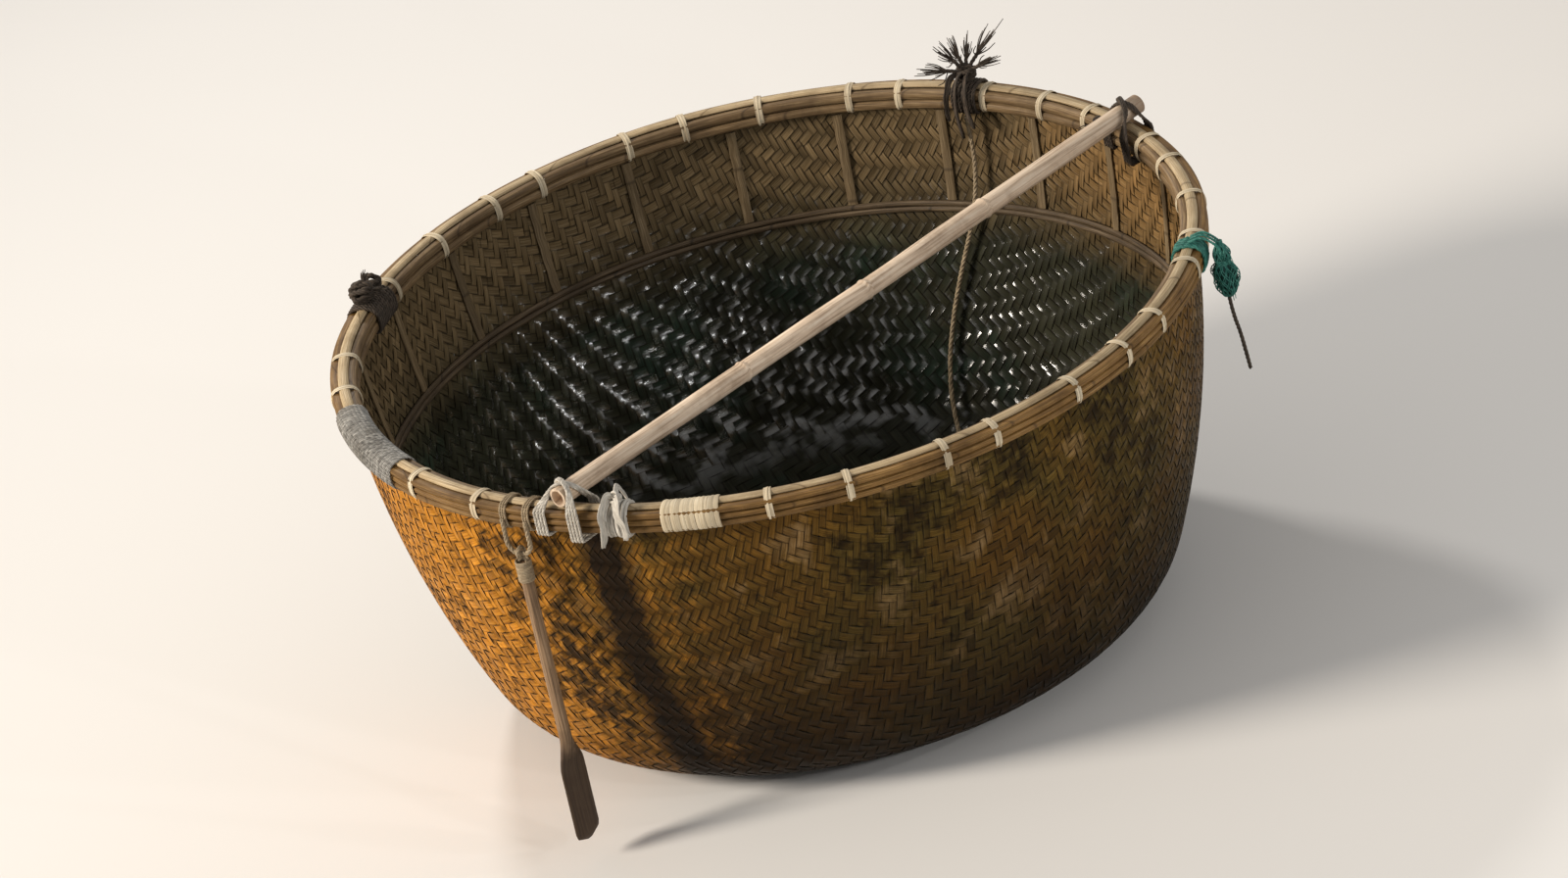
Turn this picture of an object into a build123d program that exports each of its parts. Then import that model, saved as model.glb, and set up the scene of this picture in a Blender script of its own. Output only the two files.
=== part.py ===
from build123d import *
import math
import os

os.makedirs("parts", exist_ok=True)

# Round basket boat of woven split bamboo, standing upright on its bottom.
# Millimetres and degrees. The origin is the centre of the flat patch it stands on.
# +Z is up, +X runs to the right of the usual view, +Y away from it.
# Azimuths are counted from +X towards +Y.

# Bowl: flank, chine and dome bends, and how many straight runs each bend is made of
rim_radius = 950.0
bowl_height = 835.0
skin = 10.0
top_flare = 3.0
flank_radius = 2100.0
chine_radius = 200.0
dome_radius = 2200.0
flat_radius = 300.0
flank_runs = 3
chine_runs = 2
dome_runs = 2

# Rim hoops, outside and inside the woven wall, and the lath that caps the edge
outer_hoop_width = 26.0
outer_hoop_height = 48.0
inner_hoop_width = 24.0
inner_hoop_height = 44.0
cap_width = 24.0
cap_height = 8.0
cap_slope = 6.0
seat_gap = 0.3

# Lashings round the rim
lashing_count = 34
lashing_width = 16.0
lashing_thickness = 3.5
lashing_swing = 1.8
lashing_clear = 3.0

# Stringer hoop inside the wall and the battens between it and the rim
stringer_drop = 275.0
stringer_height = 26.0
stringer_thickness = 9.0
batten_count = 24
batten_width = 22.0
batten_thickness = 5.0

# Thwart pole across the rim
pole_radius = 22.0
pole_azimuth = 40.8
pole_offset = 250.0
pole_overhang_far = 12.0
pole_overhang_near = -14.0
node_ring_rise = 2.5
node_ring_length = 10.0
node_spacing = 380.0
lashing_strand_radius = 4.5
layer_gap = 1.5
pole_lashing_slant = 42.0

# Ties and wraps bound round the rim: place, and length along the rim
far_tie_azimuth = 55.0
far_tie_length = 76.0
left_tie_azimuth = 155.0
left_tie_length = 116.0
grey_wrap_azimuth = 196.0
grey_wrap_length = 332.0
net_tie_azimuth = 344.5
net_tie_length = 53.0
near_tie_from_pole = 123.0
near_tie_length = 60.0
light_wrap_from_pole = 289.0
light_wrap_length = 133.0
tie_thickness = 9.0
wrap_thickness = 6.0
far_knot = 27.0
left_knot = 32.0
near_knot = 22.0

# Bag of net tied outside the right rim
net_radius = 32.0
net_length = 140.0
net_rise = 12.0

# Paddle hung outside the near rim by a rope becket
paddle_from_pole = -118.0
becket_drop = 100.0
becket_width = 60.0
becket_rope = 6.0
eye_rope_radius = 5.0
whipping_length = 52.0
whipping_thickness = 4.0
paddle_length = 690.0
shaft_radius = 14.0
blade_length = 250.0
blade_width = 78.0
blade_thickness = 18.0

# Ropes
rope_radius = 5.5
tail_radius = 4.5
knot_radius = 13.0
knot_length = 26.0

# The wall seen in section is three bends and a flat. Every layer is parallel to its outer face.
skin_radius = rim_radius - outer_hoop_width
flare = math.radians(top_flare)
flank_centre = (skin_radius - flank_radius * math.cos(flare), bowl_height + flank_radius * math.sin(flare))
dome_centre = (flat_radius, dome_radius)


def circle_meeting(centre_a, radius_a, centre_b, radius_b):
    """Outer one of the two points where two circles cross."""
    across = centre_b[0] - centre_a[0]
    up = centre_b[1] - centre_a[1]
    distance = math.hypot(across, up)
    along = (radius_a**2 - radius_b**2 + distance**2) / (2 * distance)
    aside = math.sqrt(radius_a**2 - along**2)
    foot = (centre_a[0] + along * across / distance, centre_a[1] + along * up / distance)
    sides = [(foot[0] + s * aside * up / distance, foot[1] - s * aside * across / distance) for s in (1, -1)]
    return max(sides)


chine_centre = circle_meeting(
    flank_centre, flank_radius - chine_radius, dome_centre, dome_radius - chine_radius
)
flank_end = math.atan2(flank_centre[1] - chine_centre[1], chine_centre[0] - flank_centre[0])
dome_start = math.atan2(dome_centre[1] - chine_centre[1], chine_centre[0] - dome_centre[0])
bends = [
    # centre, radius, how far its normal dips where it starts and ends, straight runs
    (flank_centre, flank_radius, flare, flank_end, flank_runs),
    (chine_centre, chine_radius, flank_end, dome_start, chine_runs),
    (dome_centre, dome_radius, dome_start, math.pi / 2, dome_runs),
]


def wall_corners(inset):
    """Corners of the wall's section, `inset` inside its outer face, from the rim to the flat."""
    corners = []
    for centre, radius, start, end, runs in bends:
        for i in range(runs):
            dip = start + (end - start) * i / runs
            reach = radius - inset
            corners.append((centre[0] + reach * math.cos(dip), centre[1] - reach * math.sin(dip)))
    corners.append((flat_radius, inset))
    return corners


def wall_radius(inset, level):
    """Radius of that section at a height over the ground."""
    corners = wall_corners(inset)
    for high, low in zip(corners, corners[1:]):
        if level >= low[1]:
            break
    return low[0] + (high[0] - low[0]) * (level - low[1]) / (high[1] - low[1])


def wall_run(inset, high, low):
    """Points of that section from one height down to a lower one."""
    between = [corner for corner in wall_corners(inset)[1:] if low < corner[1] < high]
    return [(wall_radius(inset, high), high), *between, (wall_radius(inset, low), low)]


def hoop_section(inset_a, inset_b, high, low):
    """Section of a hoop or batten between two parallel faces of the wall."""
    with BuildLine() as outline:
        Polyline(*wall_run(inset_a, high, low), *reversed(wall_run(inset_b, high, low)), close=True)
    make_face(outline.edges())


def radial_plane(azimuth):
    """Upright plane through the axis: its x runs outwards, its y up."""
    a = math.radians(azimuth)
    return Plane(origin=(0, 0, 0), x_dir=(math.cos(a), math.sin(a), 0), z_dir=(math.sin(a), -math.cos(a), 0))


def polar(radius, azimuth, level):
    """Point in space from its radius, azimuth and height."""
    a = math.radians(azimuth)
    return (radius * math.cos(a), radius * math.sin(a), level)


def azimuth_of(point):
    return math.degrees(math.atan2(point[1], point[0])) % 360


def arc_of(length):
    """Angle that a length along the rim covers."""
    return math.degrees(length / rim_radius)


def save(part, name):
    part.label = name
    export_step(part, f"parts/{name}.step")


# Woven bowl
with BuildPart() as woven_bowl:
    with BuildSketch(Plane.XZ):
        with BuildLine():
            outer_face = wall_run(0, bowl_height, 0)
            inner_face = wall_run(skin, bowl_height, skin)
            Polyline(*outer_face, (0, 0), (0, skin), *reversed(inner_face), close=True)
        make_face()
    revolve(axis=Axis.Z)
save(woven_bowl.part, "woven_bowl")

# Hoops that grip the woven edge
outer_low = bowl_height - outer_hoop_height
inner_low = bowl_height - inner_hoop_height
with BuildPart() as outer_hoop:
    with BuildSketch(Plane.XZ):
        hoop_section(-seat_gap, -outer_hoop_width, bowl_height, outer_low)
    revolve(axis=Axis.Z)
save(outer_hoop.part, "outer_hoop")

with BuildPart() as inner_hoop:
    with BuildSketch(Plane.XZ):
        hoop_section(skin + seat_gap, skin + inner_hoop_width, bowl_height, inner_low)
    revolve(axis=Axis.Z)
save(inner_hoop.part, "inner_hoop")

# Lath that caps the woven edge
cap_middle = skin_radius - skin / 2
cap_foot = bowl_height + seat_gap
cap_top = cap_foot + cap_height
half_foot = cap_width / 2
half_top = half_foot - cap_slope
with BuildPart() as rim_cap:
    with BuildSketch(Plane.XZ):
        with BuildLine():
            Polyline(
                (cap_middle - half_foot, cap_foot),
                (cap_middle + half_foot, cap_foot),
                (cap_middle + half_top, cap_top),
                (cap_middle - half_top, cap_top),
                close=True,
            )
        make_face()
    revolve(axis=Axis.Z)
save(rim_cap.part, "rim_cap")

# Faces of the bound rim
rim_outside = wall_radius(-outer_hoop_width, bowl_height)
rim_outside_low = wall_radius(-outer_hoop_width, outer_low)
rim_inside = wall_radius(skin + inner_hoop_width, bowl_height)
rim_inside_low = wall_radius(skin + inner_hoop_width, inner_low)


def rim_outline(clear):
    """Outline round the rim at a clearance, from the wall outside over the cap to the wall inside."""
    under_outer = outer_low - clear
    under_inner = inner_low - clear
    return [
        (wall_radius(-seat_gap, under_outer), under_outer),
        (rim_outside_low + clear, under_outer),
        (rim_outside + clear, bowl_height),
        (cap_middle, cap_top + cap_slope / 2 + clear),
        (rim_inside - clear, bowl_height),
        (rim_inside_low - clear, under_inner),
        (wall_radius(skin + seat_gap, under_inner), under_inner),
    ]


def band_section(thickness):
    """Section of a band laid round the rim."""
    with BuildLine() as outline:
        Polyline(*rim_outline(seat_gap), *reversed(rim_outline(seat_gap + thickness)), close=True)
    make_face(outline.edges())


def bind_rim(azimuth, length, thickness):
    """Binding round the rim, centred on an azimuth and `length` long."""
    arc = arc_of(length)
    with BuildSketch(radial_plane(azimuth - arc / 2)) as section:
        band_section(thickness)
    revolve(section.sketch, axis=Axis.Z, revolution_arc=arc)


# Pole: it lies on the cap, along a chord of the rim
pole_level = cap_top + seat_gap + pole_radius
pole_heading = math.radians(pole_azimuth)
pole_middle = (pole_offset * math.sin(pole_heading), -pole_offset * math.cos(pole_heading))
half_chord = math.sqrt(rim_radius**2 - pole_offset**2)
cap_chord = math.sqrt(cap_middle**2 - pole_offset**2)


def along_pole(distance, level):
    """Point over the pole's line, counted from its middle towards the far end."""
    return (
        pole_middle[0] + distance * math.cos(pole_heading),
        pole_middle[1] + distance * math.sin(pole_heading),
        level,
    )


far_crossing = along_pole(cap_chord, 0)
near_crossing = along_pole(-cap_chord, 0)
near_crossing_azimuth = azimuth_of(near_crossing)

with BuildPart() as thwart_pole:
    pole_start = along_pole(-half_chord - pole_overhang_near, pole_level)
    pole_length = 2 * half_chord + pole_overhang_near + pole_overhang_far
    pole_plane = Plane(origin=pole_start, z_dir=(math.cos(pole_heading), math.sin(pole_heading), 0))
    with BuildSketch(pole_plane):
        Circle(pole_radius)
    extrude(amount=pole_length)
    ring_place = 1.5 * node_spacing
    while ring_place < pole_length - node_spacing / 2:
        with BuildSketch(pole_plane.offset(ring_place)):
            Circle(pole_radius + node_ring_rise)
        extrude(amount=node_ring_length)
        ring_place += node_spacing
save(thwart_pole.part, "thwart_pole")

# Each lashing strand lies in an upright plane that crosses the rim aslant
half_outside = rim_outside - cap_middle
half_inside = cap_middle - rim_inside_low
wall_outside = wall_radius(0, outer_low) - cap_middle
wall_inside = cap_middle - wall_radius(skin, inner_low)
octagon = math.tan(math.radians(22.5))


def lashing_strand(crossing, shift, slant, layer):
    """One strand of rope that grips the rim and crosses over the pole, `shift` along the rim."""
    outward = math.radians(azimuth_of(crossing))
    along_rim = (-math.sin(outward), math.cos(outward))
    pole_line = pole_heading if math.cos(outward - pole_heading) > 0 else pole_heading + math.pi
    heading = pole_line + math.radians(slant)
    rim_slant = heading - outward
    start = (crossing[0] + shift * along_rim[0], crossing[1] + shift * along_rim[1])
    across = (math.cos(heading), math.sin(heading))
    to_pole = -shift * math.cos(outward - pole_line) / math.sin(math.radians(slant))
    stretch = 1 / math.cos(rim_slant)
    rope_clear = seat_gap + lashing_strand_radius
    end_clear = 2 * seat_gap + lashing_strand_radius * abs(math.sin(rim_slant))
    bulge = (half_inside * abs(math.tan(rim_slant)) + abs(shift) + rope_clear) ** 2 / (2 * cap_middle)
    rise = pole_radius + rope_clear + layer * (2 * lashing_strand_radius + layer_gap)
    half = rise / abs(math.sin(math.radians(slant)))
    rim_out = (half_outside + rope_clear) * stretch
    rim_in = (half_inside + rope_clear + bulge) * stretch
    points = [
        ((wall_outside + end_clear) * stretch, outer_low - rope_clear),
        (rim_out, outer_low - rope_clear),
        (max(rim_out, to_pole + half), bowl_height + rope_clear),
        (to_pole + half, pole_level + octagon * rise),
        (to_pole + octagon * half, pole_level + rise),
        (to_pole - octagon * half, pole_level + rise),
        (to_pole - half, pole_level + octagon * rise),
        (-max(rim_in, half - to_pole), bowl_height + rope_clear),
        (-rim_in, inner_low - rope_clear),
        (-(wall_inside + end_clear + bulge) * stretch, inner_low - rope_clear),
    ]
    plane = Plane(origin=(*start, 0), x_dir=(*across, 0), z_dir=(across[1], -across[0], 0))
    with BuildLine(plane) as path:
        Polyline(*points)
    with BuildSketch(Plane(origin=path.line @ 0, z_dir=path.line % 0)) as section:
        RegularPolygon(lashing_strand_radius, 6)
    sweep(section.sketch, path=path.line, transition=Transition.RIGHT)


def lash_pole(crossing):
    """Two pairs of strands that cross over the pole, the second pair on top of the first."""
    for layer, slant in enumerate((pole_lashing_slant, -pole_lashing_slant)):
        outward = math.radians(azimuth_of(crossing))
        aside = math.asin(math.sin(pole_heading - outward) * math.copysign(1, math.cos(pole_heading - outward)))
        rim_slant = aside + math.radians(slant)
        pitch = (2 * lashing_strand_radius + seat_gap) / math.cos(rim_slant)
        for side in (-0.5, 0.5):
            lashing_strand(crossing, side * pitch, slant, layer)


with BuildPart() as pole_lashing_far:
    lash_pole(far_crossing)
save(pole_lashing_far.part, "pole_lashing_far")

with BuildPart() as pole_lashing_near:
    lash_pole(near_crossing)
save(pole_lashing_near.part, "pole_lashing_near")

# Stringer hoop and battens inside the wall
stringer_high = bowl_height - stringer_drop + stringer_height / 2
stringer_low = stringer_high - stringer_height
wall_seat = skin + seat_gap
with BuildPart() as stringer_hoop:
    with BuildSketch(Plane.XZ):
        hoop_section(wall_seat, wall_seat + stringer_thickness, stringer_high, stringer_low)
    revolve(axis=Axis.Z)
save(stringer_hoop.part, "stringer_hoop")

batten_high = inner_low - tie_thickness - 2 * seat_gap
batten_low = stringer_high + seat_gap
with BuildPart() as wall_battens:
    for i in range(batten_count):
        with BuildSketch(radial_plane(360 / batten_count * i).offset(-batten_width / 2)):
            hoop_section(wall_seat, wall_seat + batten_thickness, batten_high, batten_low)
        extrude(amount=batten_width)
save(wall_battens.part, "wall_battens")

# Places round the near rim that follow the pole
near_tie_azimuth = near_crossing_azimuth + arc_of(near_tie_from_pole)
light_wrap_azimuth = near_crossing_azimuth + arc_of(light_wrap_from_pole)
paddle_azimuth = near_crossing_azimuth + arc_of(paddle_from_pole)

# Lashings of split cane round the rim, spaced a little unevenly, except where a binding takes their place
taken = [
    # place and length along the rim
    (far_tie_azimuth, far_tie_length),
    (left_tie_azimuth, left_tie_length),
    (near_tie_azimuth, near_tie_length),
    (grey_wrap_azimuth, grey_wrap_length),
    (light_wrap_azimuth, light_wrap_length),
    (net_tie_azimuth, net_tie_length),
    (paddle_azimuth, becket_width + 4 * becket_rope),
    (azimuth_of(far_crossing), 6 * pole_radius),
    (near_crossing_azimuth, 6 * pole_radius),
]


def is_free(azimuth):
    """True where a lashing meets no binding."""
    for place, length in taken:
        apart = abs((azimuth - place + 180) % 360 - 180)
        if apart < arc_of((length + lashing_width) / 2 + lashing_clear):
            return False
    return True


with BuildPart() as rim_lashings:
    for i in range(lashing_count):
        lashing_azimuth = 360 / lashing_count * i + lashing_swing * math.sin(2.4 * i)
        if is_free(lashing_azimuth):
            with BuildSketch(radial_plane(lashing_azimuth).offset(-lashing_width / 2)):
                band_section(lashing_thickness)
            extrude(amount=lashing_width)
save(rim_lashings.part, "rim_lashings")

# Wrapped stretches of the rim
with BuildPart() as grey_wrap:
    bind_rim(grey_wrap_azimuth, grey_wrap_length, wrap_thickness)
save(grey_wrap.part, "grey_wrap")

with BuildPart() as light_wrap:
    bind_rim(light_wrap_azimuth, light_wrap_length, wrap_thickness)
save(light_wrap.part, "light_wrap")


def add_bead(centre, direction, radius, half_length, draw_in):
    """Eight-sided knot or bag that is drawn in at both ends."""
    with BuildPart() as bead:
        with BuildSketch(Plane(origin=centre, z_dir=direction).offset(-half_length)):
            RegularPolygon(radius, 8)
        extrude(amount=2 * half_length)
        ends = bead.faces().filter_by(Axis(centre, direction))
        chamfer(ends.edges(), length=draw_in)
    add(bead.part)


def add_knot(radius, azimuth):
    """Knot that lies along the rim on its cap."""
    a = math.radians(azimuth)
    centre = polar(cap_middle, azimuth, cap_top + seat_gap + radius)
    add_bead(centre, (-math.sin(a), math.cos(a), 0), radius, 0.8 * radius, 0.3 * radius)


def add_tail(start, direction, length, thick, thin):
    """Straight frayed end that tapers away from a knot."""
    with BuildSketch(Plane(origin=start, z_dir=direction)) as root:
        RegularPolygon(thick, 6)
    extrude(root.sketch, amount=length, taper=math.degrees(math.atan((thick - thin) / length)))


# Rope tie on the far rim with its ends standing up
far_tails = [
    # azimuth and steepness of the end, its length
    (200.0, 62.0, 120.0),
    (120.0, 70.0, 95.0),
    (10.0, 48.0, 130.0),
    (330.0, 30.0, 105.0),
    (185.0, 25.0, 110.0),
]
with BuildPart() as far_tie:
    bind_rim(far_tie_azimuth, far_tie_length, tie_thickness)
    add_knot(far_knot, far_tie_azimuth)
    knot_place = polar(cap_middle, far_tie_azimuth, cap_top + seat_gap + far_knot)
    for azimuth, steep, length in far_tails:
        a, s = math.radians(azimuth), math.radians(steep)
        heading = (math.cos(a) * math.cos(s), math.sin(a) * math.cos(s), math.sin(s))
        add_tail(knot_place, heading, length, 7.0, 2.5)
save(far_tie.part, "far_tie")

# Coiled dark rope end tied on the left rim
with BuildPart() as left_tie:
    bind_rim(left_tie_azimuth, left_tie_length, tie_thickness)
    add_knot(left_knot, left_tie_azimuth + arc_of(left_tie_length / 4))
    add_knot(left_knot * 0.8, left_tie_azimuth - arc_of(left_tie_length / 4))
save(left_tie.part, "left_tie")

# Pale rag knotted on the near rim
with BuildPart() as near_tie:
    bind_rim(near_tie_azimuth, near_tie_length, tie_thickness)
    add_knot(near_knot, near_tie_azimuth)
save(near_tie.part, "near_tie")

# Bag of net tied outside the right rim
net_middle = bowl_height + net_rise - net_length / 2
with BuildPart() as net_bundle:
    bind_rim(net_tie_azimuth, net_tie_length, tie_thickness)
    bag_place = polar(rim_outside + seat_gap + net_radius, net_tie_azimuth, net_middle)
    add_bead(bag_place, (0, 0, 1), net_radius, net_length / 2, 0.35 * net_radius)
save(net_bundle.part, "net_bundle")

# Rope becket outside the rim, from which the paddle hangs
becket_radius = rim_outside + seat_gap + becket_rope
pivot_level = bowl_height - becket_drop
half_becket = becket_width / 2
becket_turn = math.degrees(half_becket / becket_radius)
paddle_turn = math.radians(paddle_azimuth)
outward_direction = (math.cos(paddle_turn), math.sin(paddle_turn), 0)
sideways_direction = (-math.sin(paddle_turn), math.cos(paddle_turn), 0)
with BuildPart() as becket:
    for side in (-1, 1):
        bind_rim(paddle_azimuth + side * becket_turn, 3 * becket_rope, becket_rope)
    becket_plane = Plane(
        origin=polar(becket_radius, paddle_azimuth, pivot_level),
        x_dir=sideways_direction,
        z_dir=outward_direction,
    )
    leg_top = becket_drop - outer_hoop_height / 2
    with BuildLine(becket_plane) as becket_line:
        Polyline(
            (-half_becket, leg_top),
            (-half_becket, half_becket / 2),
            (-half_becket / 2, 0),
            (half_becket / 2, 0),
            (half_becket, half_becket / 2),
            (half_becket, leg_top),
        )
    with BuildSketch(Plane(origin=becket_line.line @ 0, z_dir=becket_line.line % 0)) as becket_section:
        RegularPolygon(becket_rope, 6)
    sweep(becket_section.sketch, path=becket_line.line, transition=Transition.RIGHT)
save(becket.part, "becket")

# Paddle: rope eye, whipping, shaft and narrow blade
eye_inner_radius = becket_rope + seat_gap
eye_outer_radius = eye_inner_radius + 2 * eye_rope_radius
whipping_top = eye_outer_radius - 1.0
whipping_bottom = whipping_top + whipping_length
shaft_top = whipping_top + 9.0
blade_top = paddle_length - blade_length
pivot = polar(becket_radius, paddle_azimuth, pivot_level)


def below_pivot(drop):
    """Level plane under the pivot, facing down."""
    return Plane(origin=(pivot[0], pivot[1], pivot_level - drop), x_dir=outward_direction, z_dir=(0, 0, -1))


with BuildPart() as paddle_eye:
    with BuildSketch(Plane(origin=pivot, x_dir=outward_direction, z_dir=sideways_direction)):
        RegularPolygon(eye_outer_radius, 12)
        Circle(eye_inner_radius, mode=Mode.SUBTRACT)
    extrude(amount=eye_rope_radius, both=True)
    with BuildSketch(below_pivot(whipping_top)):
        RegularPolygon(shaft_radius + whipping_thickness, 12)
    extrude(amount=whipping_length)
    with BuildSketch(below_pivot(shaft_top - seat_gap)):
        RegularPolygon(shaft_radius + seat_gap, 12, major_radius=False)
    extrude(amount=whipping_bottom - shaft_top + seat_gap, mode=Mode.SUBTRACT)
save(paddle_eye.part, "paddle_eye")

with BuildPart() as paddle:
    with BuildSketch(below_pivot(shaft_top)):
        Circle(shaft_radius)
    extrude(amount=blade_top + blade_width - shaft_top)
    blade_plane = Plane(
        origin=pivot, x_dir=outward_direction, z_dir=(outward_direction[1], -outward_direction[0], 0)
    )
    half_blade = blade_width / 2
    with BuildSketch(blade_plane):
        with BuildLine():
            Polyline(
                (shaft_radius / 2, -blade_top),
                (half_blade, -blade_top - blade_width),
                (half_blade, -paddle_length + half_blade / 2),
            )
            ThreePointArc(
                (half_blade, -paddle_length + half_blade / 2),
                (0, -paddle_length),
                (-half_blade, -paddle_length + half_blade / 2),
            )
            Polyline(
                (-half_blade, -paddle_length + half_blade / 2),
                (-half_blade, -blade_top - blade_width),
                (-shaft_radius / 2, -blade_top),
                (shaft_radius / 2, -blade_top),
            )
        make_face()
    extrude(amount=blade_thickness / 2, both=True)
save(paddle.part, "paddle")


def cord(route, radius, name):
    """Rope along straight runs joined by arcs as large as the runs allow."""
    points = [Vector(*polar(*place)) for place in route]
    radii = []
    for before, corner, after in zip(points, points[1:], points[2:]):
        turn = (corner - before).get_angle(after - corner)
        run = min((corner - before).length, (after - corner).length)
        radii.append(0.45 * run / math.tan(math.radians(turn / 2)))
    with BuildPart() as rope:
        with BuildLine() as path:
            FilletPolyline(*points, radius=radii)
        with BuildSketch(Plane(origin=path.line @ 0, z_dir=path.line % 0)):
            RegularPolygon(radius, 6)
        sweep(path=path.line)
    length = sum(edge.length for edge in path.edges())
    print(name, "radii", [round(r) for r in radii], "length", round(length))
    print(name, "volume", round(rope.part.volume), "of", round(math.pi * radius**2 * length))
    save(rope.part, name)


# Rope that hangs inside from the far tie and ends on the bottom: radius, azimuth, height
rope_route = [
    (883, 55.0, 781.3),
    (880, 54.7, 705),
    (867, 55.1, 620),
    (857, 56.6, 535),
    (842, 58.8, 450),
    (821, 60.6, 370),
    (797, 62.0, 292),
    (768, 62.7, 218),
    (735, 62.4, 152),
    (700, 61.0, 98),
    (652, 58.6, 60),
    (594, 55.2, 42),
    (545, 50.2, 39),
    (521, 43.4, 37),
]
cord(rope_route, rope_radius, "inside_rope")

# Knot at that rope's end
rope_end = Vector(*polar(*rope_route[-1]))
rope_run = (rope_end - Vector(*polar(*rope_route[-2]))).normalized()
with BuildPart() as rope_knot:
    add_bead(rope_end + rope_run * (knot_length / 2), rope_run, knot_radius, knot_length / 2, 0.3 * knot_radius)
save(rope_knot.part, "rope_knot")

# Rope tail below the net: radius, azimuth, height
tail_route = [
    (983, 344.5, 706.7),
    (984, 344.4, 665),
    (989, 344.9, 618),
    (993, 344.6, 570),
    (994, 344.9, 530),
]
cord(tail_route, tail_radius, "net_tail")
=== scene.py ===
import bpy
import random
import numpy as np
from math import atan2, copysign, cos, degrees, exp, hypot, pi, radians, sin, sqrt
from mathutils import Matrix, Vector


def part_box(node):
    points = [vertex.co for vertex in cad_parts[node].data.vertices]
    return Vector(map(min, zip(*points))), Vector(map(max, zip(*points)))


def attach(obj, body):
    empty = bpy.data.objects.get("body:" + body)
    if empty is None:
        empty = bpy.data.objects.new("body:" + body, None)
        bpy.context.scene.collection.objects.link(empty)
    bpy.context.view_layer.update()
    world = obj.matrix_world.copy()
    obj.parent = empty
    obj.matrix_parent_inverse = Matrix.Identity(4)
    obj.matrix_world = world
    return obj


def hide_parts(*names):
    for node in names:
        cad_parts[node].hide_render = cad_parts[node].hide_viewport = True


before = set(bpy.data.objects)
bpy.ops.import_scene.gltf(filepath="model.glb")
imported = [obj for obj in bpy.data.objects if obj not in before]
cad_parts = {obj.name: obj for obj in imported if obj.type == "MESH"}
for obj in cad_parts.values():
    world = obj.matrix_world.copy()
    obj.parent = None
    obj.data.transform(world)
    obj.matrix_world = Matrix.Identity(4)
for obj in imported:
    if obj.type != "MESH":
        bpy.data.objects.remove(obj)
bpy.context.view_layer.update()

# Metres. +Z up, +X to the right of the usual view, +Y away from it.
# Azimuths are in degrees and run from +X towards +Y.
draw = random.Random(7)
UP = Vector((0, 0, 1))

# Sizes, from the frame or the same as in part.py
bowl_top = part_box("woven_bowl")[1]
H = bowl_top.z
SKIN_R = bowl_top.x
SKIN = 0.010
GAP = 0.0003
FLARE = radians(3.0)
FLANK_R, CHINE_R, DOME_R, FLAT_R = 2.100, 0.200, 2.200, 0.300
OUTER_W, INNER_W = 0.026, 0.024
OUTER_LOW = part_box("outer_hoop")[0].z
INNER_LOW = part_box("inner_hoop")[0].z
CAP_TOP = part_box("rim_cap")[1].z
CAP_MID = SKIN_R - SKIN / 2
RIM_R = 0.950
POLE_R = 0.022
POLE_TURN = radians(40.8)
POLE_OFFSET = 0.250
POLE_Z = CAP_TOP + GAP + POLE_R
TIE_T, LASH_W = 0.009, 0.016
CORNER_CUT, RUN_STEP = 0.006, 0.004


# The wall's section: flank, chine, dome and flat
def circle_meeting(a, ra, b, rb):
    """Outer point where two circles cross."""
    across, up = b[0] - a[0], b[1] - a[1]
    apart = hypot(across, up)
    along = (ra**2 - rb**2 + apart**2) / (2 * apart)
    aside = sqrt(ra**2 - along**2)
    foot = (a[0] + along * across / apart, a[1] + along * up / apart)
    return max((foot[0] + k * aside * up / apart, foot[1] - k * aside * across / apart) for k in (1, -1))


FLANK_C = (SKIN_R - FLANK_R * cos(FLARE), H + FLANK_R * sin(FLARE))
DOME_C = (FLAT_R, DOME_R)
CHINE_C = circle_meeting(FLANK_C, FLANK_R - CHINE_R, DOME_C, DOME_R - CHINE_R)
FLANK_DIP = atan2(FLANK_C[1] - CHINE_C[1], CHINE_C[0] - FLANK_C[0])
DOME_DIP = atan2(DOME_C[1] - CHINE_C[1], CHINE_C[0] - DOME_C[0])


def section_line(inset):
    """Distance from the middle, radius, height and outward normal, `inset` inside the wall's skin."""
    rows = [(0.0, 0.0, inset, 0.0, -1.0), (FLAT_R, FLAT_R, inset, 0.0, -1.0)]
    distance = FLAT_R
    for centre, radius, start, end, steps in (
        (DOME_C, DOME_R, pi / 2, DOME_DIP, 30),
        (CHINE_C, CHINE_R, DOME_DIP, FLANK_DIP, 30),
        (FLANK_C, FLANK_R, FLANK_DIP, FLARE, 60),
    ):
        reach = radius - inset
        for i in range(1, steps + 1):
            dip = start + (end - start) * i / steps
            distance += reach * abs(end - start) / steps
            point = (centre[0] + reach * cos(dip), centre[1] - reach * sin(dip))
            rows.append((distance, *point, cos(dip), -sin(dip)))
    return np.array(rows)


def wall_at(inset, level):
    """Radius of the flank at an inset and height."""
    reach = FLANK_R - inset
    return FLANK_C[0] + sqrt(reach**2 - (FLANK_C[1] - level) ** 2)


def polar(radius, azimuth, level):
    a = radians(azimuth)
    return Vector((radius * cos(a), radius * sin(a), level))


def level_axes(angle):
    """Level direction at an angle in radians, and the one a quarter turn on from it."""
    out = Vector((cos(angle), sin(angle), 0))
    return out, Vector((-out.y, out.x, 0))


def azimuth_of(point):
    return degrees(atan2(point.y, point.x)) % 360


def arc_of(length):
    """Degrees of azimuth that a length takes up along the rim."""
    return degrees(length / RIM_R)


def side_by_side(azimuth, count, pitch):
    """Azimuths of things that lie beside each other along the rim."""
    return [azimuth + arc_of((k - (count - 1) / 2) * pitch) for k in range(count)]


def signed_power(value, power):
    return copysign(abs(value) ** power, value)


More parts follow.
